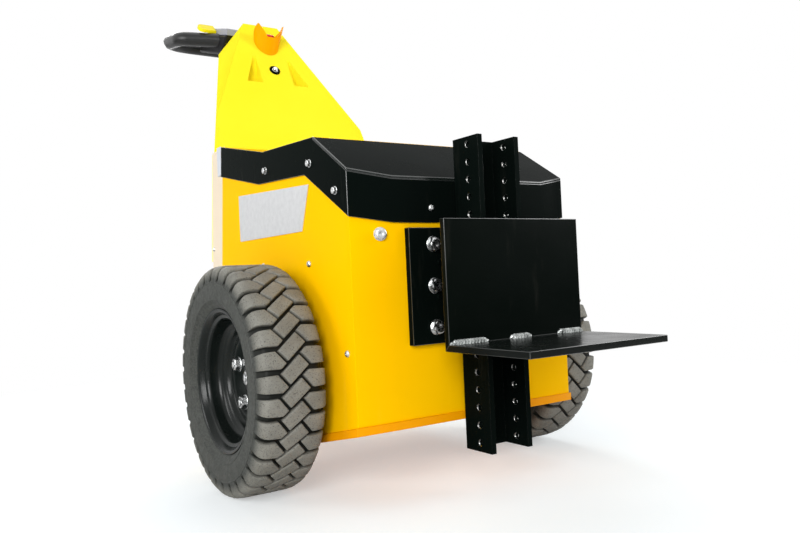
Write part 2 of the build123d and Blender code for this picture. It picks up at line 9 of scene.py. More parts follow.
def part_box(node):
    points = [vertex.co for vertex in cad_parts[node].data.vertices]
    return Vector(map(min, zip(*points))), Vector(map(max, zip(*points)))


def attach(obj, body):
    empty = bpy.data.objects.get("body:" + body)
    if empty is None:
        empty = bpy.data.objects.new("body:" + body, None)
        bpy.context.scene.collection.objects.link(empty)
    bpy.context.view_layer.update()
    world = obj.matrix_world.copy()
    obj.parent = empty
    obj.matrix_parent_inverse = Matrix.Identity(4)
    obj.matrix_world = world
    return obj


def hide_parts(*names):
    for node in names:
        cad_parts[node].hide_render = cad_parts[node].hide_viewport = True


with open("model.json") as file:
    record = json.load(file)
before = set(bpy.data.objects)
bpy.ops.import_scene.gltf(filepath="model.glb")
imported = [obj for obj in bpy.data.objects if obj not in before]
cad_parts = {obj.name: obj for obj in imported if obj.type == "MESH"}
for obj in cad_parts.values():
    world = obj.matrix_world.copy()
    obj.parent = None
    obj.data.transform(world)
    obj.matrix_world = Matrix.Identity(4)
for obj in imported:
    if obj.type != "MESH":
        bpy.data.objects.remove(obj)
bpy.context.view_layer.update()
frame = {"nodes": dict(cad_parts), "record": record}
NODES = frame["nodes"]
BODY_OF = {n: b for b, ns in frame["record"]["behaviour"]["bodies"].items() for n in ns}
MM = 0.001
X, Y, Z = 0, 1, 2
LOW, HIGH = 0, 1
SIDES = {"left": -1, "right": 1}


def node_middle(node):
    """The middle of a node's box, in the row frame."""
    low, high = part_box(node)
    return (low + high) / 2


# Places are in millimetres: x from the middle plane, y from the drive axle and z from the floor
AXLE = node_middle("tyre_left")
WHEEL_Z = AXLE.z / MM
WHEEL_X = node_middle("tyre_right").x / MM


def at(x, y, z):
    """A place in millimetres from the axle datum, in the row frame."""
    return Vector((x * MM, y * MM + AXLE.y, z * MM))


def side_of(node, axis, end):
    """One side of a node's box in millimetres from the axle datum."""
    datum = AXLE.y if axis == Y else 0.0
    return (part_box(node)[end][axis] - datum) / MM


PLATE_Y = side_of("mount_plate", Y, LOW)
BRACKET_Y = side_of("bracket_plate", Y, LOW)
SHELF_Z = side_of("bracket_shelf", Z, HIGH)
BODY_X = side_of("body_shell", X, HIGH)
BAND_X = side_of("bumper_band", X, HIGH)
BAND_Y = side_of("bumper_band", Y, LOW)
PANEL_Y = side_of("rear_panel", Y, HIGH)
PANEL_Z = side_of("rear_panel", Z, LOW)
MAST_X = side_of("mast", X, HIGH)
MAST_Y = side_of("mast", Y, LOW)

# Slopes of the rear housing's back and side and of the neck's face, as run over length
TOWER_SLANT = 0.128
TOWER_DRAW = 17.0 / 240.4
NECK_SLANT = 0.568


# Camera, placed as the photo's
EYE = at(-791.54, -1227.248, 350.763)
YAW, PITCH, ROLL = 0.58665, 0.01506, -0.04570
FOCAL_PX = 759.649
PHOTO_WIDE_PX = 800.0
SENSOR_WIDE = 36.0


def add_camera():
    """A camera at the eye, turned by yaw and pitch and then rolled about its own view."""
    ahead = Vector((math.sin(YAW) * math.cos(PITCH), math.cos(YAW) * math.cos(PITCH), math.sin(PITCH)))
    flat_right = Vector((math.cos(YAW), -math.sin(YAW), 0.0))
    flat_up = flat_right.cross(ahead)
    right = flat_right * math.cos(ROLL) + flat_up * math.sin(ROLL)
    up = flat_up * math.cos(ROLL) - flat_right * math.sin(ROLL)
    camera = bpy.data.objects.new("camera", bpy.data.cameras.new("camera"))
    bpy.context.scene.collection.objects.link(camera)
    camera.data.sensor_width = SENSOR_WIDE
    camera.data.lens = FOCAL_PX / PHOTO_WIDE_PX * SENSOR_WIDE
    camera.matrix_world = Matrix((
        (right.x, up.x, -ahead.x, EYE.x),
        (right.y, up.y, -ahead.y, EYE.y),
        (right.z, up.z, -ahead.z, EYE.z),
        (0, 0, 0, 1)))
    bpy.context.scene.camera = camera


add_camera()
bpy.context.scene.view_settings.view_transform = "Standard"


# Materials
def srgb(r, g, b):
    """A colour written as 0 to 255 screen values, in linear light."""
    def linear(v):
        v /= 255.0
        return v / 12.92 if v <= 0.04045 else ((v + 0.055) / 1.055) ** 2.4
    return (linear(r), linear(g), linear(b), 1.0)


class Nodes:
    """Short calls to build one material's nodes."""

    def __init__(self, name):
        self.mat = bpy.data.materials.new(name)
        self.mat.use_nodes = True
        self.tree = self.mat.node_tree
        self.shader = self.tree.nodes["Principled BSDF"]
        self.coords = self.tree.nodes.new("ShaderNodeTexCoord").outputs["Object"]

    def put(self, socket, value):
        """Links an output to a socket, or sets a plain value on it."""
        if isinstance(value, bpy.types.NodeSocket):
            self.tree.links.new(value, socket)
        else:
            socket.default_value = value

    def add(self, kind, settings=(), **inputs):
        """A new node with its settings and its inputs, whose names have _ for a space."""
        node = self.tree.nodes.new(kind)
        for key, value in dict(settings).items():
            setattr(node, key, value)
        for key, value in inputs.items():
            self.put(node.inputs[key.replace("_", " ")], value)
        return node

    def noise(self, scale, detail=3.0, rough=0.5, stretch=None):
        """Noise of a scale in waves a metre, drawn out along the axes where stretch is given."""
        vector = self.coords
        if stretch:
            vector = self.add("ShaderNodeMapping", Vector=self.coords, Scale=stretch).outputs["Vector"]
        node = self.add("ShaderNodeTexNoise", Vector=vector, Scale=scale, Detail=detail, Roughness=rough)
        return node.outputs["Fac"]

    def ramp(self, value, low, high, to_low=0.0, to_high=1.0):
        """Maps low and high to to_low and to_high, and holds the ends."""
        node = self.add(
            "ShaderNodeMapRange", Value=value, From_Min=low, From_Max=high, To_Min=to_low, To_Max=to_high)
        return node.outputs["Result"]

    def mix(self, fac, a, b):
        """Colour a where fac is 0 and colour b where it is 1."""
        node = self.add("ShaderNodeMix", {"data_type": "RGBA"})
        for index, value in ((0, fac), (6, a), (7, b)):
            self.put(node.inputs[index], value)
        return node.outputs[2]

    def math(self, operation, a, b):
        node = self.add("ShaderNodeMath", {"operation": operation})
        self.put(node.inputs[0], a)
        self.put(node.inputs[1], b)
        return node.outputs[0]

    def bump(self, height, strength, distance, **under):
        node = self.add("ShaderNodeBump", Height=height, Strength=strength, Distance=distance, **under)
        return node.outputs["Normal"]

    def finish(self, colour, rough, **inputs):
        """Sets the shader's inputs and gives the material."""
        for key, value in dict(inputs, Base_Color=colour, Roughness=rough).items():
            self.put(self.shader.inputs[key.replace("_", " ")], value)
        return self.mat


RUBBED = srgb(236, 226, 205)
SCUFFED = srgb(190, 190, 186)
DUST = srgb(150, 147, 139)
WALL_DARK, WALL_LIGHT = srgb(52, 54, 51), srgb(74, 76, 72)


def powder_paint(name, colour, shade, rough, peel, coat, specular, wear):
    """Powder coat: orange peel, a slow drift of tone and faint rub marks."""
    n = Nodes(name)
    drift = n.ramp(n.noise(3.2, 2.0), 0.35, 0.65)
    tone = n.mix(drift, srgb(*colour), srgb(*shade))
    rub = n.ramp(n.noise(38.0, 6.0, 0.62, (1.0, 1.0, 0.16)), 0.60, 0.78)
    tone = n.mix(n.math("MULTIPLY", rub, wear), tone, RUBBED)
    gloss = n.ramp(n.noise(21.0, 4.0), 0.3, 0.7, rough - 0.035, rough + 0.05)
    gloss = n.math("ADD", gloss, n.math("MULTIPLY", rub, 0.12))
    normal = n.bump(n.noise(420.0, 2.0), peel, 0.00022)
    return n.finish(
        tone, gloss, Normal=normal, Coat_Weight=coat, Coat_Roughness=0.08, Specular_IOR_Level=specular)


def moulded(name, colour, shade, rough, grain, scale, specular):
    """Moulded plastic: fine spark-eroded grain and a slight drift of tone and gloss."""
    n = Nodes(name)
    tone = n.mix(n.ramp(n.noise(4.0, 3.0), 0.35, 0.68), srgb(*colour), srgb(*shade))
    scuff = n.ramp(n.noise(60.0, 8.0, 0.7, (1.0, 0.3, 1.0)), 0.66, 0.80)
    tone = n.mix(n.math("MULTIPLY", scuff, 0.08), tone, SCUFFED)
    gloss = n.ramp(n.noise(30.0, 4.0), 0.3, 0.7, rough - 0.04, rough + 0.05)
    normal = n.bump(n.noise(scale, 2.0, 0.6), grain, 0.00012)
    return n.finish(tone, gloss, Normal=normal, Specular_IOR_Level=specular)


def metal(name, colour, shade, rough, stretch, depth):
    """Bare or plated metal with fine brushing or a mottled plate."""
    n = Nodes(name)
    spots = n.ramp(n.noise(90.0, 5.0, 0.6), 0.35, 0.72)
    tone = n.mix(spots, srgb(*colour), srgb(*shade))
    lines = n.noise(340.0, 3.0, 0.6, stretch)
    gloss = n.ramp(lines, 0.3, 0.7, rough - 0.06, rough + 0.10)
    return n.finish(tone, gloss, Normal=n.bump(lines, depth, 0.0001), Metallic=1.0)


def rubber(name, colour, shade, low_face_shade, rough):
    """Tyre rubber: dusty high faces, painted shade on the low faces in the grooves, a dark clean sidewall,
    fine pores and haze.
    """
    n = Nodes(name)
    high = n.add("ShaderNodeAttribute", {"attribute_name": "high"}).outputs["Fac"]
    beside = n.add("ShaderNodeAttribute", {"attribute_name": "wall"}).outputs["Fac"]
    blotch = n.ramp(n.noise(26.0, 5.0, 0.6), 0.34, 0.70)
    top = n.mix(blotch, srgb(*colour), srgb(*shade))
    haze = n.ramp(n.noise(9.0, 4.0, 0.6), 0.45, 0.72)
    top = n.mix(n.math("MULTIPLY", haze, 0.28), top, DUST)
    wall = n.mix(n.ramp(n.noise(210.0, 5.0, 0.7), 0.38, 0.66), WALL_DARK, WALL_LIGHT)
    top = n.mix(beside, top, wall)
    pores = n.ramp(n.noise(520.0, 4.0, 0.7), 0.30, 0.46)
    top = n.mix(n.math("SUBTRACT", 1.0, pores), top, srgb(*low_face_shade))
    # Faces marked low, the grooves' floors and the blocks' feet, take the dark colour as painted shade
    tone = n.mix(high, srgb(*low_face_shade), top)
    gloss = n.ramp(n.noise(70.0, 4.0), 0.3, 0.7, rough - 0.08, rough + 0.08)
    fine = n.bump(n.noise(700.0, 4.0, 0.65), 0.5, 0.00025)
    normal = n.bump(n.noise(120.0, 5.0, 0.6), 0.30, 0.0006, Normal=fine)
    return n.finish(tone, gloss, Normal=normal, Specular_IOR_Level=0.22)


POWDER_PAINTS = {
    # name: colour, shade, roughness, orange peel, clear coat, specular level, wear
    "yellow_powder_paint": ((255, 196, 0), (254, 191, 0), 0.36, 0.20, 0.0, 0.012, 0.015),
    # The base plate's yellow is darker and more orange than the body's: painted shade under the body
    "underside_yellow_painted_shade": ((248, 164, 0), (242, 154, 0), 0.38, 0.25, 0.0, 0.08, 0.02),
    "cream_paint": ((238, 222, 198), (232, 215, 190), 0.36, 0.22, 0.05, 0.12, 0.02),
    "pale_yellow_paint": ((250, 240, 160), (247, 234, 146), 0.36, 0.22, 0.10, 0.25, 0.02),
    "black_powder_paint": ((6, 11, 9), (9, 15, 13), 0.24, 0.24, 0.0, 0.007, 0.008),
    "bracket_paint": ((5, 10, 7), (8, 13, 11), 0.18, 0.24, 0.0, 0.024, 0.008),
    "shelf_paint": ((8, 12, 10), (12, 16, 14), 0.24, 0.24, 0.0, 0.10, 0.008),
    # The black paints' rounded edges get a lighter colour, which is a painted highlight, and more gloss
    "black_edge_painted_highlight": ((30, 34, 32), (40, 44, 42), 0.16, 0.20, 0.0, 0.9, 0.02),
    "strip_paint": ((206, 210, 216), (198, 202, 209), 0.40, 0.22, 0.0, 0.2, 0.02),
    "rim_enamel": ((12, 17, 15), (19, 25, 23), 0.24, 0.28, 0.0, 0.22, 0.01),
    "casting_paint": ((24, 25, 25), (34, 34, 34), 0.48, 0.9, 0.0, 0.3, 0.02),
}
MOULDINGS = {
    # name: colour, shade, roughness, grain depth, grain scale, specular level
    "lemon_cover": ((254, 240, 48), (253, 236, 42), 0.40, 0.10, 500.0, 0.0),
    # The guard's yellow is darker and more orange than the cover's: painted shade on its upright face
    "guard_yellow_painted_shade": ((252, 166, 2), (250, 158, 1), 0.30, 0.16, 500.0, 0.03),
    "paddle_yellow": ((252, 234, 30), (248, 226, 24), 0.32, 0.20, 500.0, 0.12),
    "grip_black": ((16, 17, 16), (24, 25, 24), 0.32, 0.40, 700.0, 0.40),
    "pod_black": ((12, 12, 13), (18, 18, 19), 0.42, 0.50, 900.0, 0.20),
    "panel_grey": ((160, 162, 172), (150, 152, 163), 0.42, 0.40, 900.0, 0.3),
    "knob_red": ((214, 40, 26), (198, 30, 20), 0.24, 0.10, 500.0, 0.4),
    "battery_case": ((42, 42, 45), (56, 56, 58), 0.50, 0.50, 600.0, 0.3),
}
METALS = {
    # name: colour, shade, roughness, stretch of the brushing, depth of the brushing
    "zinc_plate": ((222, 223, 222), (198, 201, 202), 0.24, (1.0, 1.0, 1.0), 0.25),
    "fastener_steel": ((214, 214, 211), (184, 184, 181), 0.30, (1.0, 1.0, 1.0), 0.25),
    "weld_bead": ((196, 200, 198), (70, 74, 72), 0.24, (1.0, 1.0, 1.0), 0.5),
    "sign_silver": ((218, 219, 220), (208, 209, 210), 0.42, (0.04, 1.0, 14.0), 0.12),
}
RUBBERS = {
    # name: colour, shade, painted shade of the low faces in the grooves (also the pores' colour), roughness
    "tyre_rubber": ((134, 133, 125), (112, 111, 104), (18, 20, 16), 0.60),
    "castor_rubber": ((70, 70, 70), (58, 58, 58), (36, 36, 36), 0.50),
}
LOOKS = {}
RECIPES = ((powder_paint, POWDER_PAINTS), (moulded, MOULDINGS), (metal, METALS), (rubber, RUBBERS))
for recipe, table in RECIPES:
    for name, values in table.items():
        LOOKS[name] = recipe(name, *values)

FINISH = {
    # node: name of its look
    # The base plate and the stop guard take yellows darkened as painted shade
    "base_plate": "underside_yellow_painted_shade", "body_shell": "yellow_powder_paint", "body_back": "yellow_powder_paint",
    "deck_lid": "yellow_powder_paint", "hood_panel": "black_powder_paint",
    "bumper_band": "black_powder_paint", "sign_plates": "sign_silver",
    "rear_housing": "cream_paint", "rear_panel": "pale_yellow_paint",
    "neck_cover": "lemon_cover", "neck_back": "pod_black",
    "stop_guard": "guard_yellow_painted_shade", "stop_button": "knob_red",
    "head_pod": "pod_black", "top_panel": "panel_grey",
    "throttle_paddles": "paddle_yellow", "handle_loop": "grip_black",
    "mount_plate": "black_powder_paint", "mast": "black_powder_paint",
    "bracket_slider": "bracket_paint", "bracket_plate": "bracket_paint", "bracket_shelf": "shelf_paint",
    "axle_housing": "casting_paint", "motor_block": "casting_paint", "battery_block": "battery_case",
    "hub_left": "casting_paint", "hub_right": "casting_paint",
    "rim_left": "rim_enamel", "rim_right": "rim_enamel",
    "tyre_left": "tyre_rubber", "tyre_right": "tyre_rubber",
    "castor_plate": "zinc_plate", "castor_fork": "zinc_plate", "castor_axle": "fastener_steel",
    "castor_core": "grip_black", "castor_tyre": "castor_rubber",
}
for node, look in FINISH.items():
    NODES[node].data.materials.clear()
    NODES[node].data.materials.append(LOOKS[look])


# Pieces
class Mesh:
    """Collects faces of one piece. Points are in millimetres from the axle datum."""

    def __init__(self, name, body, slot, *looks):
        self.name, self.body, self.slot, self.looks = name, body, slot, looks
        self.points, self.faces, self.marks, self.high, self.wall = [], [], [], [], []

    def ring(self, points, high=1.0, wall=0.0):
        """Adds points and gives their numbers."""
        start = len(self.points)
        self.points.extend(points)
        self.high.extend([high] * len(points))
        self.wall.extend([wall] * len(points))
        return list(range(start, start + len(points)))

    def skin(self, rings, mark=0):
        """Joins closed rings of as many points each, one after the other."""
        for a, b in zip(rings, rings[1:]):
            for i in range(len(a)):
                j = (i + 1) % len(a)
                self.faces.append((a[i], a[j], b[j], b[i]))
                self.marks.append(mark)

    def cap(self, ring, mark=0, flip=False):
        self.faces.append(tuple(reversed(ring)) if flip else tuple(ring))
        self.marks.append(mark)

    def done(self, replaces=(), *, sharp):
        """Makes the piece, on its body, with edges sharp over the given angle."""
        mesh = bpy.data.meshes.new(self.name)
        mesh.from_pydata([at(*p) for p in self.points], [], self.faces)
        for look in self.looks:
            mesh.materials.append(LOOKS[look])
        mesh.polygons.foreach_set("material_index", self.marks)
        # The high mark keeps faces out of the tyre rubber's painted groove shade; the wall mark finds the
        # sidewall
        for label, values in (("high", self.high), ("wall", self.wall)):
            mesh.attributes.new(label, "FLOAT", "POINT").data.foreach_set("value", values)
        piece = bpy.data.objects.new(self.name, mesh)
        bpy.context.scene.collection.objects.link(piece)
        tidy_normals(piece, sharp)
        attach(piece, self.body)
        if replaces:
            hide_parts(*replaces)


def tidy_normals(piece, sharp):
    """Outward normals, smooth faces and sharp edges over the given angle."""
    bm = bmesh.new()
    bm.from_mesh(piece.data)
    bmesh.ops.recalc_face_normals(bm, faces=bm.faces)
    smooth_to(bm, sharp)
    bm.to_mesh(piece.data)
    bm.free()


def smooth_to(bm, sharp):
    """Smooth faces, with edges sharp over an angle in degrees or on a border."""
    for face in bm.faces:
        face.smooth = True
    for edge in bm.edges:
        edge.smooth = len(edge.link_faces) == 2 and edge.calc_face_angle(0.0) < math.radians(sharp)


def frame_of(axis):
    """Two directions square to an axis, the second as near as possible to up."""
    axis = Vector(axis).normalized()
    side = Vector((0, 0, 1)).cross(axis)
    side.normalize()
    return side, axis.cross(side), axis


def round_ring(count, radius):
    """A circle as (radius, angle) points."""
    return [(radius, 2 * math.pi * i / count) for i in range(count)]


def hex_ring(count, flat, turn, limit=math.inf):
    """A hexagon across flats as (radius, angle) points, clipped to a circle for the chamfer."""
    out = []
    for i in range(count):
        a = 2 * math.pi * i / count
        near = (a + math.pi / 6) % (math.pi / 3) - math.pi / 6
        out.append((min(flat / 2 / math.cos(near), limit), a + turn))
    return out


def stack(mesh, place, axis, rings, mark=0, closed=True):
    """Joins polar rings, each (points, height), into a turned or hexagonal form."""
    side, rise, out = frame_of(axis)
    place = Vector(place)
    made = []
    for polar, height in rings:
        points = [place + side * r * math.cos(a) + rise * r * math.sin(a) + out * height for r, a in polar]
        made.append(mesh.ring([tuple(p) for p in points]))
    mesh.skin(made, mark)
    if closed:
        mesh.cap(made[-1], mark)


HEAD_POINTS, HOLE_POINTS, SEAL_POINTS = 24, 20, 32


def hex_bolt(mesh, place, axis, flat, tall, washer, turn, stud=False):
    """Hexagon head or nut on its washer, with a chamfered crown and a stud's end or a dimple."""
    n = HEAD_POINTS
    r = flat / 2
    wide = flat * 0.66
    top = washer + tall
    rings = [
        # points, height
        (round_ring(n, wide), 0.0), (round_ring(n, wide), washer * 0.8), (round_ring(n, wide - 0.5), washer),
        (round_ring(n, r * 0.98), washer), (hex_ring(n, flat, turn, r * 1.04), washer + 0.1),
        (hex_ring(n, flat, turn), washer + tall * 0.10), (hex_ring(n, flat, turn), washer + tall * 0.84),
        (hex_ring(n, flat, turn, r * 1.03), washer + tall * 0.93), (round_ring(n, r * 0.90), top)]
    if stud:
        middle = [(0.56, 0.0), (0.54, 1.6), (0.40, 2.4), (0.05, 2.4)]
    else:
        middle = [(0.45, 0.0), (0.30, -0.7), (0.05, -0.8)]
    rings += [(round_ring(n, r * share), top + rise) for share, rise in middle]
    stack(mesh, place, axis, rings)


def socket_screw(mesh, place, axis, radius, tall, mark=0):
    """Button head with a hexagon socket."""
    n = HEAD_POINTS
    key = radius * 0.95
    turn = 0.2
    head = [
        # share of the radius, share of the height
        (1.0, 0.0), (0.99, 0.22), (0.90, 0.62), (0.74, 0.90), (0.60, 1.0)]
    socket = [
        # share of the key, share of the height
        (1.0, 1.0), (0.94, 0.85), (0.90, 0.30)]
    rings = [(round_ring(n, radius * wide), tall * rise) for wide, rise in head]
    rings += [(hex_ring(n, key * wide, turn), tall * rise) for wide, rise in socket]
    rings.append((round_ring(n, radius * 0.04), tall * 0.18))
    stack(mesh, place, axis, rings, mark)


# Pieces that stand for CAD nodes, with softened edges
MERGE_M = 2e-6
FLAT_DEGREES = 0.6
FOLD_DEGREES = 24.0
SHARP_DEGREES = 32.0
SLEEVE_SHARP_DEGREES = 40.0
SLEEVE = 1.8
SKIRT_Z = 634.0
SKIRT_LEAN = -0.3
DRESSED = {
    # node: edge rounding in mm
    "base_plate": 0.9, "body_shell": 0.9, "deck_lid": 1.0, "hood_panel": 1.4, "bumper_band": 0.9,
    "rear_housing": 1.2, "rear_panel": 1.6, "neck_cover": 2.2, "head_pod": 2.0, "top_panel": 2.2,
    "mount_plate": 1.0, "mast": 0.7, "bracket_slider": 0.8, "bracket_plate": 0.9, "bracket_shelf": 0.9,
    "sign_plates": 0.3, "throttle_paddles": 1.6, "stop_guard": 0.8, "castor_plate": 0.8, "castor_fork": 0.8,
    "castor_tyre": 3.0, "castor_core": 1.0,
}
# Black paints whose rounded edges get the lighter colour of a painted highlight
PAINTED_HIGHLIGHT_EDGED = ("black_powder_paint", "bracket_paint", "shelf_paint")


def copy_of(node, ending):
    """A copy of a CAD node as a piece of its own, and its mesh open for edits."""
    piece = bpy.data.objects.new(node + ending, NODES[node].data.copy())
    bpy.context.scene.collection.objects.link(piece)
    bm = bmesh.new()
    bm.from_mesh(piece.data)
    bmesh.ops.remove_doubles(bm, verts=bm.verts, dist=MERGE_M)
    return piece, bm


def stand_in(piece, node):
    """Puts the piece on the node's body and lets it stand for the node."""
    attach(piece, BODY_OF[node])
    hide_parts(node)


def dressed(node, width):
    """A copy of a CAD node with its folds and cut edges rounded off.

    The rounded edges of black nodes have a finish of their own: glossier paint in a lighter colour, which is
    a painted highlight along the edges.
    """
    piece, bm = copy_of(node, "_finish")
    bmesh.ops.dissolve_limit(
        bm, angle_limit=math.radians(FLAT_DEGREES), verts=bm.verts, edges=bm.edges,
        use_dissolve_boundaries=False)
    bmesh.ops.recalc_face_normals(bm, faces=bm.faces)
    limit = math.radians(FOLD_DEGREES)
    folds = [e for e in bm.edges if len(e.link_faces) == 2 and e.calc_face_angle(0.0) > limit]
    rounded_off = bmesh.ops.bevel(
        bm, geom=folds, offset=width * MM, offset_type="OFFSET", segments=2, profile=0.5,
        affect="EDGES", clamp_overlap=True, miter_outer="SHARP", loop_slide=True)
    # The rounded edges take a lighter colour, a painted highlight
    if FINISH[node] in PAINTED_HIGHLIGHT_EDGED:
        piece.data.materials.append(LOOKS["black_edge_painted_highlight"])
        for face in rounded_off["faces"]:
            face.material_index = 1
    smooth_to(bm, SHARP_DEGREES)
    bm.to_mesh(piece.data)
    bm.free()
    weighted = piece.modifiers.new("even_normals", "WEIGHTED_NORMAL")
    weighted.keep_sharp = True
    stand_in(piece, node)
    return piece


def lemon_skirt(mesh):
    """Gives the rear housing's front slope under the neck the finish of the neck, which it carries on."""
    mesh.materials.append(LOOKS["lemon_cover"])
    for face in mesh.polygons:
        if face.center.z > SKIRT_Z * MM and face.normal.y < SKIRT_LEAN:
            face.material_index = len(mesh.materials) - 1


def sleeved(node, thick):
    """A copy of a CAD node with the thickness of a soft sleeve added all round."""
    piece, bm = copy_of(node, "_sleeve")
    bm.normal_update()
    for vert in bm.verts:
        vert.co += vert.normal * thick * MM
    bm.to_mesh(piece.data)
    bm.free()
    tidy_normals(piece, SLEEVE_SHARP_DEGREES)
    stand_in(piece, node)


for node, width in DRESSED.items():
    piece = dressed(node, width)
    if node == "rear_housing":
        lemon_skirt(piece.data)
sleeved("handle_loop", SLEEVE)


# Tyres, where q is the way across the tread from its middle and s the way round it
LUGS = 34
CROWN_R = 192.5
GROOVE = 9.0
GROOVE_WIDE = 4.8
PITCH = 2 * math.pi * CROWN_R / LUGS
BLOCK_TURN = math.radians(39.5)
BLOCK_HALF_LONG, BLOCK_HALF_WIDE = 21.2, 11.0
BLOCK_CORNER = 1.6
CORNER_STEPS = 3
NOTCH_WIDE = 8.0
NOTCH_SET = 2.0
SHOULDER_TAPER = 1.5
TOP_EDGE = [
    # inset, rise of a block's rounded top edge
    (0.45, 0.9), (0.8, 0.4)]
# How far a block's foot goes under the groove's floor, and the least share of its height it keeps
ROOT, FLATTEST = 0.4, 0.15
# The tread's turn about the axle, in lugs, as the photo shows it
PHASE = -0.17
NUB_R, NUB_TALL, NUB_SUNK = 0.75, 0.5, 0.2
MIDDLE_NUBS = (0.0, -12.0, 12.0)
SHOULDER_NUBS = (33.0, 44.0)
# Blocks are cut this fine, so that they follow the tyre's curve
CUT_Q, CUT_S = 7.0, 9.0
TYRE_STEPS = 4 * LUGS
TREAD_STATIONS = [0.0, 13.0, 26.0, 34.0, 42.0]
TYRE_LINE = [
    # x from the tyre's middle plane, radius: tread, shoulder, sidewall with its ribs, bead
    (0.0, 192.5), (28.0, 192.5), (40.0, 192.1), (46.4, 190.4), (50.8, 187.0), (53.4, 182.4), (54.6, 176.6),
    (55.2, 170.4), (55.5, 165.4), (56.4, 164.8), (56.4, 163.4), (55.7, 162.8), (56.0, 152.0), (55.6, 142.0),
    (55.0, 137.4), (55.6, 136.8), (55.4, 135.2), (54.4, 134.6), (53.8, 132.6), (51.6, 131.4), (50.6, 129.4),
    (48.0, 124.4), (44.5, 121.6), (43.0, 119.0), (43.0, 117.4)]
# Way along the line to each of its points
WAY = [0.0]
for (x0, r0), (x1, r1) in zip(TYRE_LINE, TYRE_LINE[1:]):
    WAY.append(WAY[-1] + math.hypot(x1 - x0, r1 - r0))
SHOULDER = 4
FADE_FROM, TREAD_END = WAY[5], WAY[8]
DUST_END, WALL_FROM = WAY[4], WAY[7]


def line_normal(i):
    """Outward direction at a point of the tyre's line."""
    if i == 0:
        return Vector((0.0, 1.0))
    a = TYRE_LINE[i - 1]
    b = TYRE_LINE[min(i + 1, len(TYRE_LINE) - 1)]
    return Vector((a[1] - b[1], b[0] - a[0])).normalized()


def on_line(q):
    """Point and outward direction (x, r, nx, nr) of the tyre's outer face at a distance along it."""
    side = -1.0 if q < 0 else 1.0
    q = min(abs(q), WAY[-1] - 1e-6)
    k = max(i for i in range(len(WAY) - 1) if WAY[i] <= q)
    (x0, r0), (x1, r1) = TYRE_LINE[k], TYRE_LINE[k + 1]
    t = (q - WAY[k]) / (WAY[k + 1] - WAY[k])
    n = (line_normal(k) * (1 - t) + line_normal(k + 1) * t).normalized()
    return side * (x0 + (x1 - x0) * t), r0 + (r1 - r0) * t, side * n.x, n.y


def wall_at(q):
    """How far the dusty tread has given way to the dark sidewall at a distance from the middle."""
    return min(max((abs(q) - DUST_END) / (WALL_FROM - DUST_END), 0.0), 1.0)


def groove_at(q):
    """How deep the groove is at a distance from the middle: it fades out down the sidewall."""
    if abs(q) <= FADE_FROM:
        return GROOVE
    return max(0.0, GROOVE * (TREAD_END - abs(q)) / (TREAD_END - FADE_FROM))


def rounded(points, radius):
    """A convex outline with its corners rounded."""
    out = []
    for i, p in enumerate(points):
        p, a, b = Vector(p), Vector(points[i - 1]), Vector(points[(i + 1) % len(points)])
        to_a, to_b = a - p, b - p
        cut = min(radius, to_a.length * 0.45, to_b.length * 0.45)
        start, end = p + to_a.normalized() * cut, p + to_b.normalized() * cut
        for k in range(CORNER_STEPS + 1):
            t = k / CORNER_STEPS
            out.append(tuple(start * (1 - t) ** 2 + p * 2 * t * (1 - t) + end * t * t))
    return out


def cut_across(bm, normal, start, stop, step):
    """Cuts the mesh by planes square to a direction, from start to stop."""
    place = start
    while place < stop:
        everything = bm.verts[:] + bm.edges[:] + bm.faces[:]
        bmesh.ops.bisect_plane(bm, geom=everything, plane_co=Vector(normal) * place, plane_no=normal)
        place += step


def tread_block(outline):
    """One block as (q, s, height) points and faces, from its outline, with a rounded top edge."""
    bm = bmesh.new()
    start = -sum(rise for inset, rise in TOP_EDGE)
    face = bm.faces.new([bm.verts.new((q, s, start)) for q, s in outline])
    face.normal_update()
    if face.normal.z < 0:
        face.normal_flip()
    for inset, rise in TOP_EDGE:
        bmesh.ops.inset_individual(bm, faces=[face], thickness=inset, depth=rise)
    border = [e for e in bm.edges if len(e.link_faces) == 1]
    for part in bmesh.ops.extrude_edge_only(bm, edges=border)["geom"]:
        if isinstance(part, bmesh.types.BMVert):
            part.co.z = -GROOVE - ROOT
    q_all = [v.co.x for v in bm.verts]
    s_all = [v.co.y for v in bm.verts]
    cut_across(bm, (1, 0, 0), math.floor(min(q_all) / CUT_Q) * CUT_Q, max(q_all), CUT_Q)
    cut_across(bm, (0, 1, 0), min(s_all) + CUT_S, max(s_all), CUT_S)
    bm.verts.ensure_lookup_table()
    points = [tuple(v.co) for v in bm.verts]
    faces = [tuple(v.index for v in f.verts) for f in bm.faces]
    bm.free()
    return points, faces


ALONG = Vector((math.cos(BLOCK_TURN), math.sin(BLOCK_TURN)))
ACROSS = Vector((-math.sin(BLOCK_TURN), math.cos(BLOCK_TURN)))


def tread_unit():
    """Tilted middle block and the two shoulder lugs of one pitch."""
    a, b = BLOCK_HALF_LONG, BLOCK_HALF_WIDE
    corners = ((-a, b), (-a, -b), (a, -b), (a, b))
    middle = [tuple(ALONG * u + ACROSS * v) for u, v in corners]
    apex = ALONG * (-a - GROOVE_WIDE) + ACROSS * (b - PITCH * math.cos(BLOCK_TURN) + GROOVE_WIDE)
    top = -NOTCH_WIDE / 2 - NOTCH_SET
    bottom = top - (PITCH - NOTCH_WIDE)
    top_q = (apex - ACROSS * ((apex.y - top) / ACROSS.y)).x
    bottom_q = (apex - ALONG * ((apex.y - bottom) / ALONG.y)).x
    shoulder = [(-TREAD_END, top - SHOULDER_TAPER), (top_q, top), tuple(apex), (bottom_q, bottom),
                (-TREAD_END, bottom + SHOULDER_TAPER)]
    outer = rounded(shoulder, BLOCK_CORNER)
    inner = [(-q, -s) for q, s in outer]
    return [tread_block(rounded(middle, BLOCK_CORNER)), tread_block(outer), tread_block(inner)]


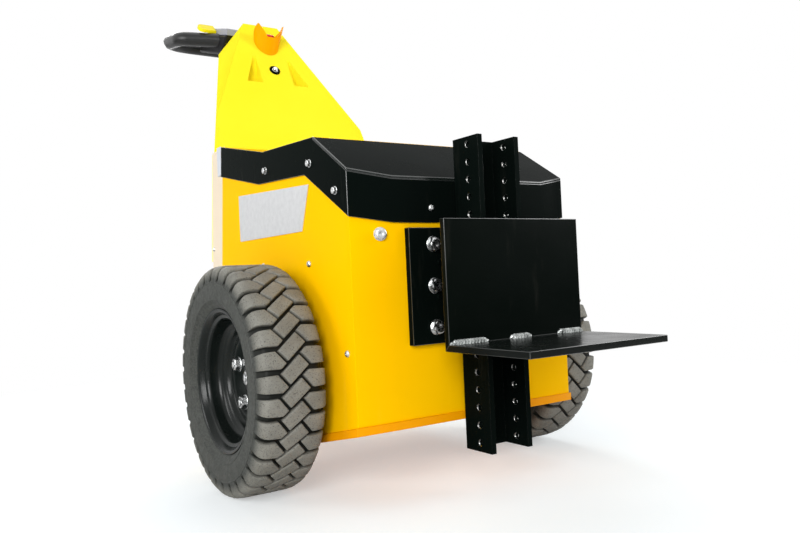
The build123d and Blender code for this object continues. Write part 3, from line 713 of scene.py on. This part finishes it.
def nub(q, s):
    """A moulding vent nub on a block's face."""
    ring = [(q + NUB_R * math.cos(k * math.pi / 3), s + NUB_R * math.sin(k * math.pi / 3)) for k in range(6)]
    points = [(a, b, -NUB_SUNK) for a, b in ring] + [(a, b, NUB_TALL) for a, b in ring]
    faces = [(k, (k + 1) % 6, 6 + (k + 1) % 6, 6 + k) for k in range(6)] + [tuple(range(6, 12))]
    return points, faces


UNIT = tread_unit()
UNIT += [nub(*(ALONG * way)) for way in MIDDLE_NUBS]
for side in SIDES.values():
    UNIT += [nub(side * q, -side * PITCH / 2) for q in SHOULDER_NUBS]


def wheel_ring(mesh, x, r, steps, high=1.0, wall=0.0):
    """A ring round the axle."""
    turns = [2 * math.pi * k / steps for k in range(steps)]
    return mesh.ring([(x, r * math.sin(a), WHEEL_Z + r * math.cos(a)) for a in turns], high, wall)


def carcass(mesh, centre):
    """The tyre's turned body, with the grooves' floor in place of the tread."""
    half = TREAD_STATIONS + WAY[SHOULDER:]
    rings = []
    for q in [-q for q in reversed(half[1:])] + half:
        x, r, nx, nr = on_line(q)
        deep = groove_at(q)
        # The groove's floor is marked low, so it takes the rubber's painted shade
        high = 1.0 if abs(q) >= TREAD_END else 0.0
        rings.append(wheel_ring(mesh, centre + x - nx * deep, r - nr * deep, TYRE_STEPS, high, wall_at(q)))
    mesh.skin(rings)


def wrap_block(mesh, side, angle, points, faces):
    """Lays a block or nub on the tyre at an angle. Its foot is as deep as the groove beside it."""
    start = len(mesh.points)
    for q, s, height in points:
        x, r, nx, nr = on_line(q * -side)
        deep = groove_at(q)
        foot = height < -GROOVE / 2
        rise = max(height, -deep - ROOT) if foot else height * max(deep / GROOVE, FLATTEST)
        turn = angle + s / CROWN_R
        r += nr * rise
        mesh.points.append((
            side * WHEEL_X + x + nx * rise, -r * math.cos(turn), WHEEL_Z + r * math.sin(turn)))
        # A block's foot is marked low, so it takes the rubber's painted shade
        mesh.high.append(0.0 if foot else 1.0)
        mesh.wall.append(wall_at(q))
    mesh.faces.extend(tuple(start + i for i in f) for f in faces)
    mesh.marks.extend([0] * len(faces))


def tyre(label, side):
    mesh = Mesh("tread_" + label, "drive_wheel_" + label, "tyre_rubber", "tyre_rubber")
    carcass(mesh, side * WHEEL_X)
    for k in range(LUGS):
        for points, faces in UNIT:
            wrap_block(mesh, side, 2 * math.pi * (k + PHASE) / LUGS, points, faces)
    mesh.done(["tyre_" + label], sharp=50.0)


# Rims
RIM_STEPS = 120
DISC_X = -3.5
DISC_R, DISC_BORE_R, DISC_THICK = 60.0, 27.0, 8.0
DISC_BACK_X = DISC_X - DISC_THICK
RIM_OUTER = [
    # x from the tyre's middle plane outwards, radius: outer flange to the disc
    (43.2, 117.6), (43.4, 121.0), (45.6, 121.4), (46.6, 120.4), (46.8, 118.4), (46.2, 116.0), (43.6, 113.6),
    (39.0, 111.4), (36.2, 110.0), (35.4, 107.6), (34.6, 104.6), (32.4, 103.0), (28.0, 102.4), (16.0, 101.0),
    (11.0, 98.8), (8.6, 95.0), (7.2, 90.6), (5.6, 87.4), (2.6, 85.4), (-1.4, 83.6), (-3.4, 81.0),
    (-3.5, 76.5), (-2.6, 74.6), (-2.2, 72.8), (-2.8, 71.2), (-3.5, 69.6), (DISC_X, DISC_R)]
RIM_DISC = [
    # x, radius: round the disc's bore to its back
    (DISC_X, DISC_R), (DISC_X, DISC_BORE_R), (DISC_BACK_X, DISC_BORE_R), (DISC_BACK_X, DISC_R)]
RIM_INNER = [
    # x, radius: the disc's back to the inner flange
    (DISC_BACK_X, DISC_R), (-11.5, 78.0), (-13.0, 86.0), (-18.0, 92.0), (-30.0, 101.0), (-34.6, 104.6),
    (-36.2, 110.0), (-39.0, 111.4), (-43.6, 113.6), (-46.8, 118.4), (-45.6, 121.4), (-43.4, 121.0),
    (-43.2, 117.6)]
RIM_WELL = [
    # x, radius: the well under the tyre
    (43.2, 117.6), (20.0, 104.8), (-20.0, 104.8), (-43.2, 117.6)]
NUT_CIRCLE_R = 48.0
NUT_DEGREES = (25.0, 115.0, 205.0, -65.0)


def rim(label, side):
    """Deep dished rim, its disc set in from the outer flange."""
    mesh = Mesh("dish_" + label, "drive_wheel_" + label, "rim_paint", "rim_enamel")
    for line in (RIM_OUTER, RIM_DISC, RIM_INNER, RIM_WELL):
        mesh.skin([wheel_ring(mesh, side * WHEEL_X + side * x, r, RIM_STEPS) for x, r in line])
    mesh.done(["rim_" + label], sharp=34.0)


def wheel_nuts(label, side):
    """Nuts on the disc's studs, each turned by another amount, and the hub's middle nut."""
    mesh = Mesh("wheel_nuts_" + label, "drive_wheel_" + label, "zinc", "zinc_plate")
    out = (side, 0, 0)
    face = side * (WHEEL_X + DISC_X)
    for k, degrees in enumerate(NUT_DEGREES):
        a = math.radians(degrees)
        place = (face, NUT_CIRCLE_R * math.cos(a), WHEEL_Z + NUT_CIRCLE_R * math.sin(a))
        hex_bolt(mesh, place, out, flat=20.0, tall=9.6, washer=1.4, turn=0.3 + 0.7 * k, stud=True)
    hub_face = side_of("hub_" + label, X, HIGH if side > 0 else LOW)
    hex_bolt(mesh, (hub_face, 0, WHEEL_Z), out, flat=22.0, tall=6.4, washer=1.6, turn=0.15, stud=True)
    mesh.done(sharp=32.0)


for label, side in SIDES.items():
    tyre(label, side)
    rim(label, side)
    wheel_nuts(label, side)


# Fasteners on the body
# Place of the black paint among the looks of the fasteners' mesh
BLACK_MARK = 1
FORWARD = (0, -1, 0)
# Outward direction of the body's folded front corner on the left
FACET = Vector((-18.0, -67.0, 0.0)).normalized()
BAND_BOLTS = [
    # y, z on the bumper band's side
    (52.5, 556.5), (-122.5, 543.7), (-205.2, 489.5)]
BODY_SCREWS = [
    # y, z on the body's side
    (84.4, 384.4), (-101.3, 380.6), (-216.8, 238.9)]
PLATE_SCREWS = [
    # x, z on the mount plate
    (80.1, 373.0), (83.2, 318.2)]
PLATE_BOLT_X = 90.3
PLATE_BOLT_Z = (401.4, 336.5, 271.7)
FACET_BOLT_X, FACET_BOLT_Y, FACET_BOLT_Z = 176.0, -250.36, 418.9
BAND_SCREW_X, BAND_SCREW_Z = 84.6, 459.0
PANEL_SCREW_X = 160.0
PANEL_SCREW_Z = (638.0, 425.0)
TOWER_SCREW_X, TOWER_SCREW_Y, TOWER_SCREW_Z = 176.9, 466.0, 436.0
NECK_SCREW = (0.0, 479.2, 874.0)
SEAL_SEAT = 1.8
SEAL_LINE = [
    # radius, height of the neck screw's sealing washer
    (13.5, 0.0), (13.5, 1.6), (12.4, 2.6), (8.4, 2.8), (8.0, SEAL_SEAT), (0.4, SEAL_SEAT)]


def side_fasteners(mesh, side):
    """Bolts of the bumper band, screws of the body and the large bolt by its front corner."""
    out = (side, 0, 0)
    for y, z in BAND_BOLTS:
        hex_bolt(mesh, (side * BAND_X, y, z), out, flat=10.0, tall=4.4, washer=1.2, turn=0.4)
    for y, z in BODY_SCREWS:
        socket_screw(mesh, (side * BODY_X, y, z), out, radius=5.6, tall=3.6)
    facet_out = (-side * FACET.x, FACET.y, 0.0)
    place = (side * FACET_BOLT_X, FACET_BOLT_Y, FACET_BOLT_Z)
    hex_bolt(mesh, place, facet_out, flat=16.0, tall=7.0, washer=1.8, turn=0.2)


def front_fasteners(mesh, side):
    """Bolts and black screws of the mount plate, and the bumper band's front screw."""
    for z in PLATE_BOLT_Z:
        place = (side * PLATE_BOLT_X, PLATE_Y, z)
        hex_bolt(mesh, place, FORWARD, flat=19.0, tall=8.4, washer=1.8, turn=0.25 + z)
    for x, z in PLATE_SCREWS:
        socket_screw(mesh, (side * x, PLATE_Y, z), FORWARD, radius=4.6, tall=3.2, mark=BLACK_MARK)
    socket_screw(mesh, (side * BAND_SCREW_X, BAND_Y, BAND_SCREW_Z), FORWARD, radius=5.4, tall=3.4)


def rear_fasteners(mesh, side):
    """Screws of the rear panel and of the rear housing's side."""
    slant = math.atan(TOWER_SLANT)
    for z in PANEL_SCREW_Z:
        place = (side * PANEL_SCREW_X, PANEL_Y - TOWER_SLANT * (z - PANEL_Z), z)
        socket_screw(mesh, place, (0, math.cos(slant), math.sin(slant)), radius=5.0, tall=3.4)
    draw = math.atan(TOWER_DRAW)
    place = (side * TOWER_SCREW_X, TOWER_SCREW_Y, TOWER_SCREW_Z)
    socket_screw(mesh, place, (side * math.cos(draw), math.sin(draw), 0), radius=5.2, tall=3.2)


def neck_fastener(mesh):
    """Cover screw on the neck's face, on a black sealing washer."""
    slant = math.atan(NECK_SLANT)
    out = Vector((0.0, -math.cos(slant), math.sin(slant)))
    seal = [(round_ring(SEAL_POINTS, r), height) for r, height in SEAL_LINE]
    stack(mesh, NECK_SCREW, out, seal, BLACK_MARK)
    hex_bolt(mesh, Vector(NECK_SCREW) + out * SEAL_SEAT, out, flat=11.0, tall=4.6, washer=0.8, turn=0.2)


def body_fasteners():
    mesh = Mesh("body_fasteners", "chassis", "zinc", "zinc_plate", "black_powder_paint")
    for side in SIDES.values():
        side_fasteners(mesh, side)
        front_fasteners(mesh, side)
        rear_fasteners(mesh, side)
    neck_fastener(mesh)
    mesh.done(sharp=32.0)


# Mast, end strips and welds
HOLE_R = 5.0
HOLE_COUNT = 18
HOLE_PITCH = 27.4
HOLE_FIRST_Z = 89.0
HOLE_SET_BACK = 25.6
FLANGE = 9.0
HOLE_EDGE = [
    # radius, height over the flange's face: the bare edge and the start of the painted wall
    (HOLE_R + 0.7, 0.12), (HOLE_R - 0.2, -0.9), (HOLE_R - 0.1, -1.0)]
STRIP_LOW, STRIP_HIGH = 580.0, 640.0
STRIP_FRONT_Y, STRIP_BACK_Y = 282.0, 304.0
STRIP_END_X = 190.0
STRIP_THICK = 2.0
WELD_R = 7.0
WELD_ARC = 6
WELD_LEAN = 2.2
RIPPLE = 5.4
RIPPLE_STEPS = 6
# Shares of the weld's radius: its valleys, its ripples over them and its ends, and how fast the ends grow
VALLEY, CREST, END_SHARE, END_GROWTH = 0.66, 0.40, 0.35, 5.0
STITCHES = [
    # from x, to x
    (-134.0, -64.0), (-20.0, 22.0), (80.0, 134.0)]


def mast_hole_edges():
    """Bare edges where the mast's holes are drilled through the paint, with a painted wall between."""
    bare, painted = 0, 1
    mesh = Mesh("mast_hole_edges", "chassis", "black_paint", "fastener_steel", "black_powder_paint")
    far_edge = [(r, -FLANGE - height) for r, height in reversed(HOLE_EDGE)]
    lines = [(HOLE_EDGE, bare), ([HOLE_EDGE[-1], far_edge[0]], painted), (far_edge, bare)]
    for side in SIDES.values():
        for k in range(HOLE_COUNT):
            place = (side * MAST_X, MAST_Y + HOLE_SET_BACK, HOLE_FIRST_Z + HOLE_PITCH * k)
            for line, mark in lines:
                rings = [(round_ring(HOLE_POINTS, r), height) for r, height in line]
                stack(mesh, place, (side, 0, 0), rings, mark, closed=False)
    mesh.done(sharp=40.0)


def end_strips():
    """Folded grey end strips behind the bumper band, from the body's side to the rear housing."""
    mesh = Mesh("end_strips", "chassis", "sign_silver", "strip_paint")
    inside_x, inside_y = BODY_X - STRIP_THICK, STRIP_BACK_Y - STRIP_THICK
    angle = [
        (inside_x, STRIP_FRONT_Y), (BODY_X, STRIP_FRONT_Y), (BODY_X, STRIP_BACK_Y),
        (STRIP_END_X, STRIP_BACK_Y), (STRIP_END_X, inside_y), (inside_x, inside_y)]
    for side in SIDES.values():
        bottom, top = [mesh.ring([(side * x, y, z) for x, y in angle]) for z in (STRIP_LOW, STRIP_HIGH)]
        mesh.skin([bottom, top])
        mesh.cap(bottom, flip=True)
        mesh.cap(top)
    mesh.done(sharp=30.0)


def weld_section(x, reach):
    """The weld's corner and its round face, which leans along the seam at the middle."""
    points = [(x, BRACKET_Y, SHELF_Z)]
    for k in range(WELD_ARC + 1):
        a = math.pi / 2 * k / WELD_ARC
        lean = WELD_LEAN * math.sin(2 * a)
        points.append((x + lean, BRACKET_Y - reach * math.cos(a), SHELF_Z + reach * math.sin(a)))
    return points


def shelf_welds():
    """Rippled stitch welds between the bracket's upright and its shelf, thin at their ends."""
    mesh = Mesh("shelf_welds", "load_bracket", "black_paint", "weld_bead")
    for start, end in STITCHES:
        count = int((end - start) / RIPPLE) * RIPPLE_STEPS
        rings = []
        for i in range(count + 1):
            t = i / count
            lobe = abs(math.sin(math.pi * i / RIPPLE_STEPS))
            taper = min(1.0, END_SHARE + END_GROWTH * min(t, 1 - t))
            reach = WELD_R * (VALLEY + CREST * lobe) * taper
            rings.append(mesh.ring(weld_section(start + (end - start) * t, reach)))
        mesh.cap(rings[0])
        mesh.skin(rings)
        mesh.cap(rings[-1], flip=True)
    mesh.done(sharp=38.0)


body_fasteners()
mast_hole_edges()
end_strips()
shelf_welds()


# Floor and light
WHITE = (1, 1, 1, 1)
FLOOR_HALF = 14.0
FLOOR_Z = -0.0005
FLOOR_TONE, FLOOR_GRAIN = (0.80, 0.80, 0.80, 1), (0.74, 0.74, 0.74, 1)
# What the camera sees of the floor: its tone, a lift of its level, and where its shadow fades out
FLOOR_SEEN = (0.655, 0.70, 0.715, 1)
FLOOR_LIFT = 0.42
SHADOW_FROM, SHADOW_TO = 0.75, 1.7
FILL_TONE, FILL_LEVEL = (0.96, 0.98, 1.0, 1), 0.22
LAMPS = {
    # name: place, aim, size, watts
    "key": ((-2.6, -3.0, 1.5), (0, 0, 0.45), (1.8, 1.6), 116),
    "left": ((-3.2, 0.5, 1.3), (0, 0, 0.45), (1.4, 1.4), 34),
    "top": ((0.2, 0.2, 3.4), (0, 0, 0.3), (2.6, 2.6), 20),
    "right": ((2.6, -2.2, 1.6), (0, 0, 0.4), (1.4, 1.8), 52),
    "back": ((0.8, 3.0, 2.0), (0, 0, 0.5), (2.0, 1.4), 60),
}


def floor_material():
    """Pale floor that keeps the shadow near the object and is plain white further off."""
    n = Nodes("floor")
    shown = n.add("ShaderNodeLightPath").outputs["Is Camera Ray"]
    grain = n.ramp(n.noise(60.0, 3.0), 0.3, 0.7, 0.0, 0.012)
    tone = n.mix(shown, n.mix(grain, FLOOR_TONE, FLOOR_GRAIN), FLOOR_SEEN)
    n.finish(tone, 0.9, Specular_IOR_Level=0.0)
    away = n.add("ShaderNodeVectorMath", {"operation": "LENGTH"})
    n.put(away.inputs[0], n.coords)
    fade = n.math("MULTIPLY", n.ramp(away.outputs["Value"], SHADOW_FROM, SHADOW_TO), shown)
    lift = n.add("ShaderNodeEmission", Color=WHITE, Strength=n.math("MULTIPLY", shown, FLOOR_LIFT))
    lit = n.add("ShaderNodeAddShader")
    n.put(lit.inputs[0], n.shader.outputs[0])
    n.put(lit.inputs[1], lift.outputs[0])
    plain = n.add("ShaderNodeEmission", Color=WHITE, Strength=1.0)
    faded = n.add("ShaderNodeMixShader")
    for index, value in enumerate((fade, lit.outputs[0], plain.outputs[0])):
        n.put(faded.inputs[index], value)
    n.put(n.tree.nodes["Material Output"].inputs["Surface"], faded.outputs[0])
    return n.mat


def add_floor():
    mesh = bpy.data.meshes.new("floor")
    h = FLOOR_HALF
    mesh.from_pydata([(-h, -h, 0), (h, -h, 0), (h, h, 0), (-h, h, 0)], [], [(0, 1, 2, 3)])
    mesh.materials.append(floor_material())
    floor = bpy.data.objects.new("floor", mesh)
    floor.location.z = FLOOR_Z
    bpy.context.scene.collection.objects.link(floor)


def background(tree, colour, level):
    node = tree.nodes.new("ShaderNodeBackground")
    node.inputs["Color"].default_value = colour
    node.inputs["Strength"].default_value = level
    return node.outputs[0]


def add_world():
    """White to the camera, in reflections and through glass, and a weak cool fill as light."""
    world = bpy.data.worlds.new("world")
    bpy.context.scene.world = world
    world.use_nodes = True
    tree = world.node_tree
    tree.nodes.clear()
    rays = tree.nodes.new("ShaderNodeLightPath")
    shown = rays.outputs["Is Camera Ray"]
    for ray in ("Is Glossy Ray", "Is Transmission Ray"):
        either = tree.nodes.new("ShaderNodeMath")
        either.operation = "MAXIMUM"
        tree.links.new(shown, either.inputs[0])
        tree.links.new(rays.outputs[ray], either.inputs[1])
        shown = either.outputs[0]
    blend = tree.nodes.new("ShaderNodeMixShader")
    tree.links.new(shown, blend.inputs[0])
    tree.links.new(background(tree, FILL_TONE, FILL_LEVEL), blend.inputs[1])
    tree.links.new(background(tree, WHITE, 1.0), blend.inputs[2])
    sink = tree.nodes.new("ShaderNodeOutputWorld")
    tree.links.new(blend.outputs[0], sink.inputs["Surface"])


def softbox(name, place, aim, size, watts):
    lamp = bpy.data.lights.new(name, "AREA")
    lamp.shape = "RECTANGLE"
    lamp.size, lamp.size_y = size
    lamp.energy = watts
    box = bpy.data.objects.new(name, lamp)
    box.location = Vector(place)
    box.rotation_euler = (Vector(aim) - Vector(place)).to_track_quat("-Z", "Y").to_euler()
    bpy.context.scene.collection.objects.link(box)


add_floor()
add_world()
for name, values in LAMPS.items():
    softbox(name, *values)
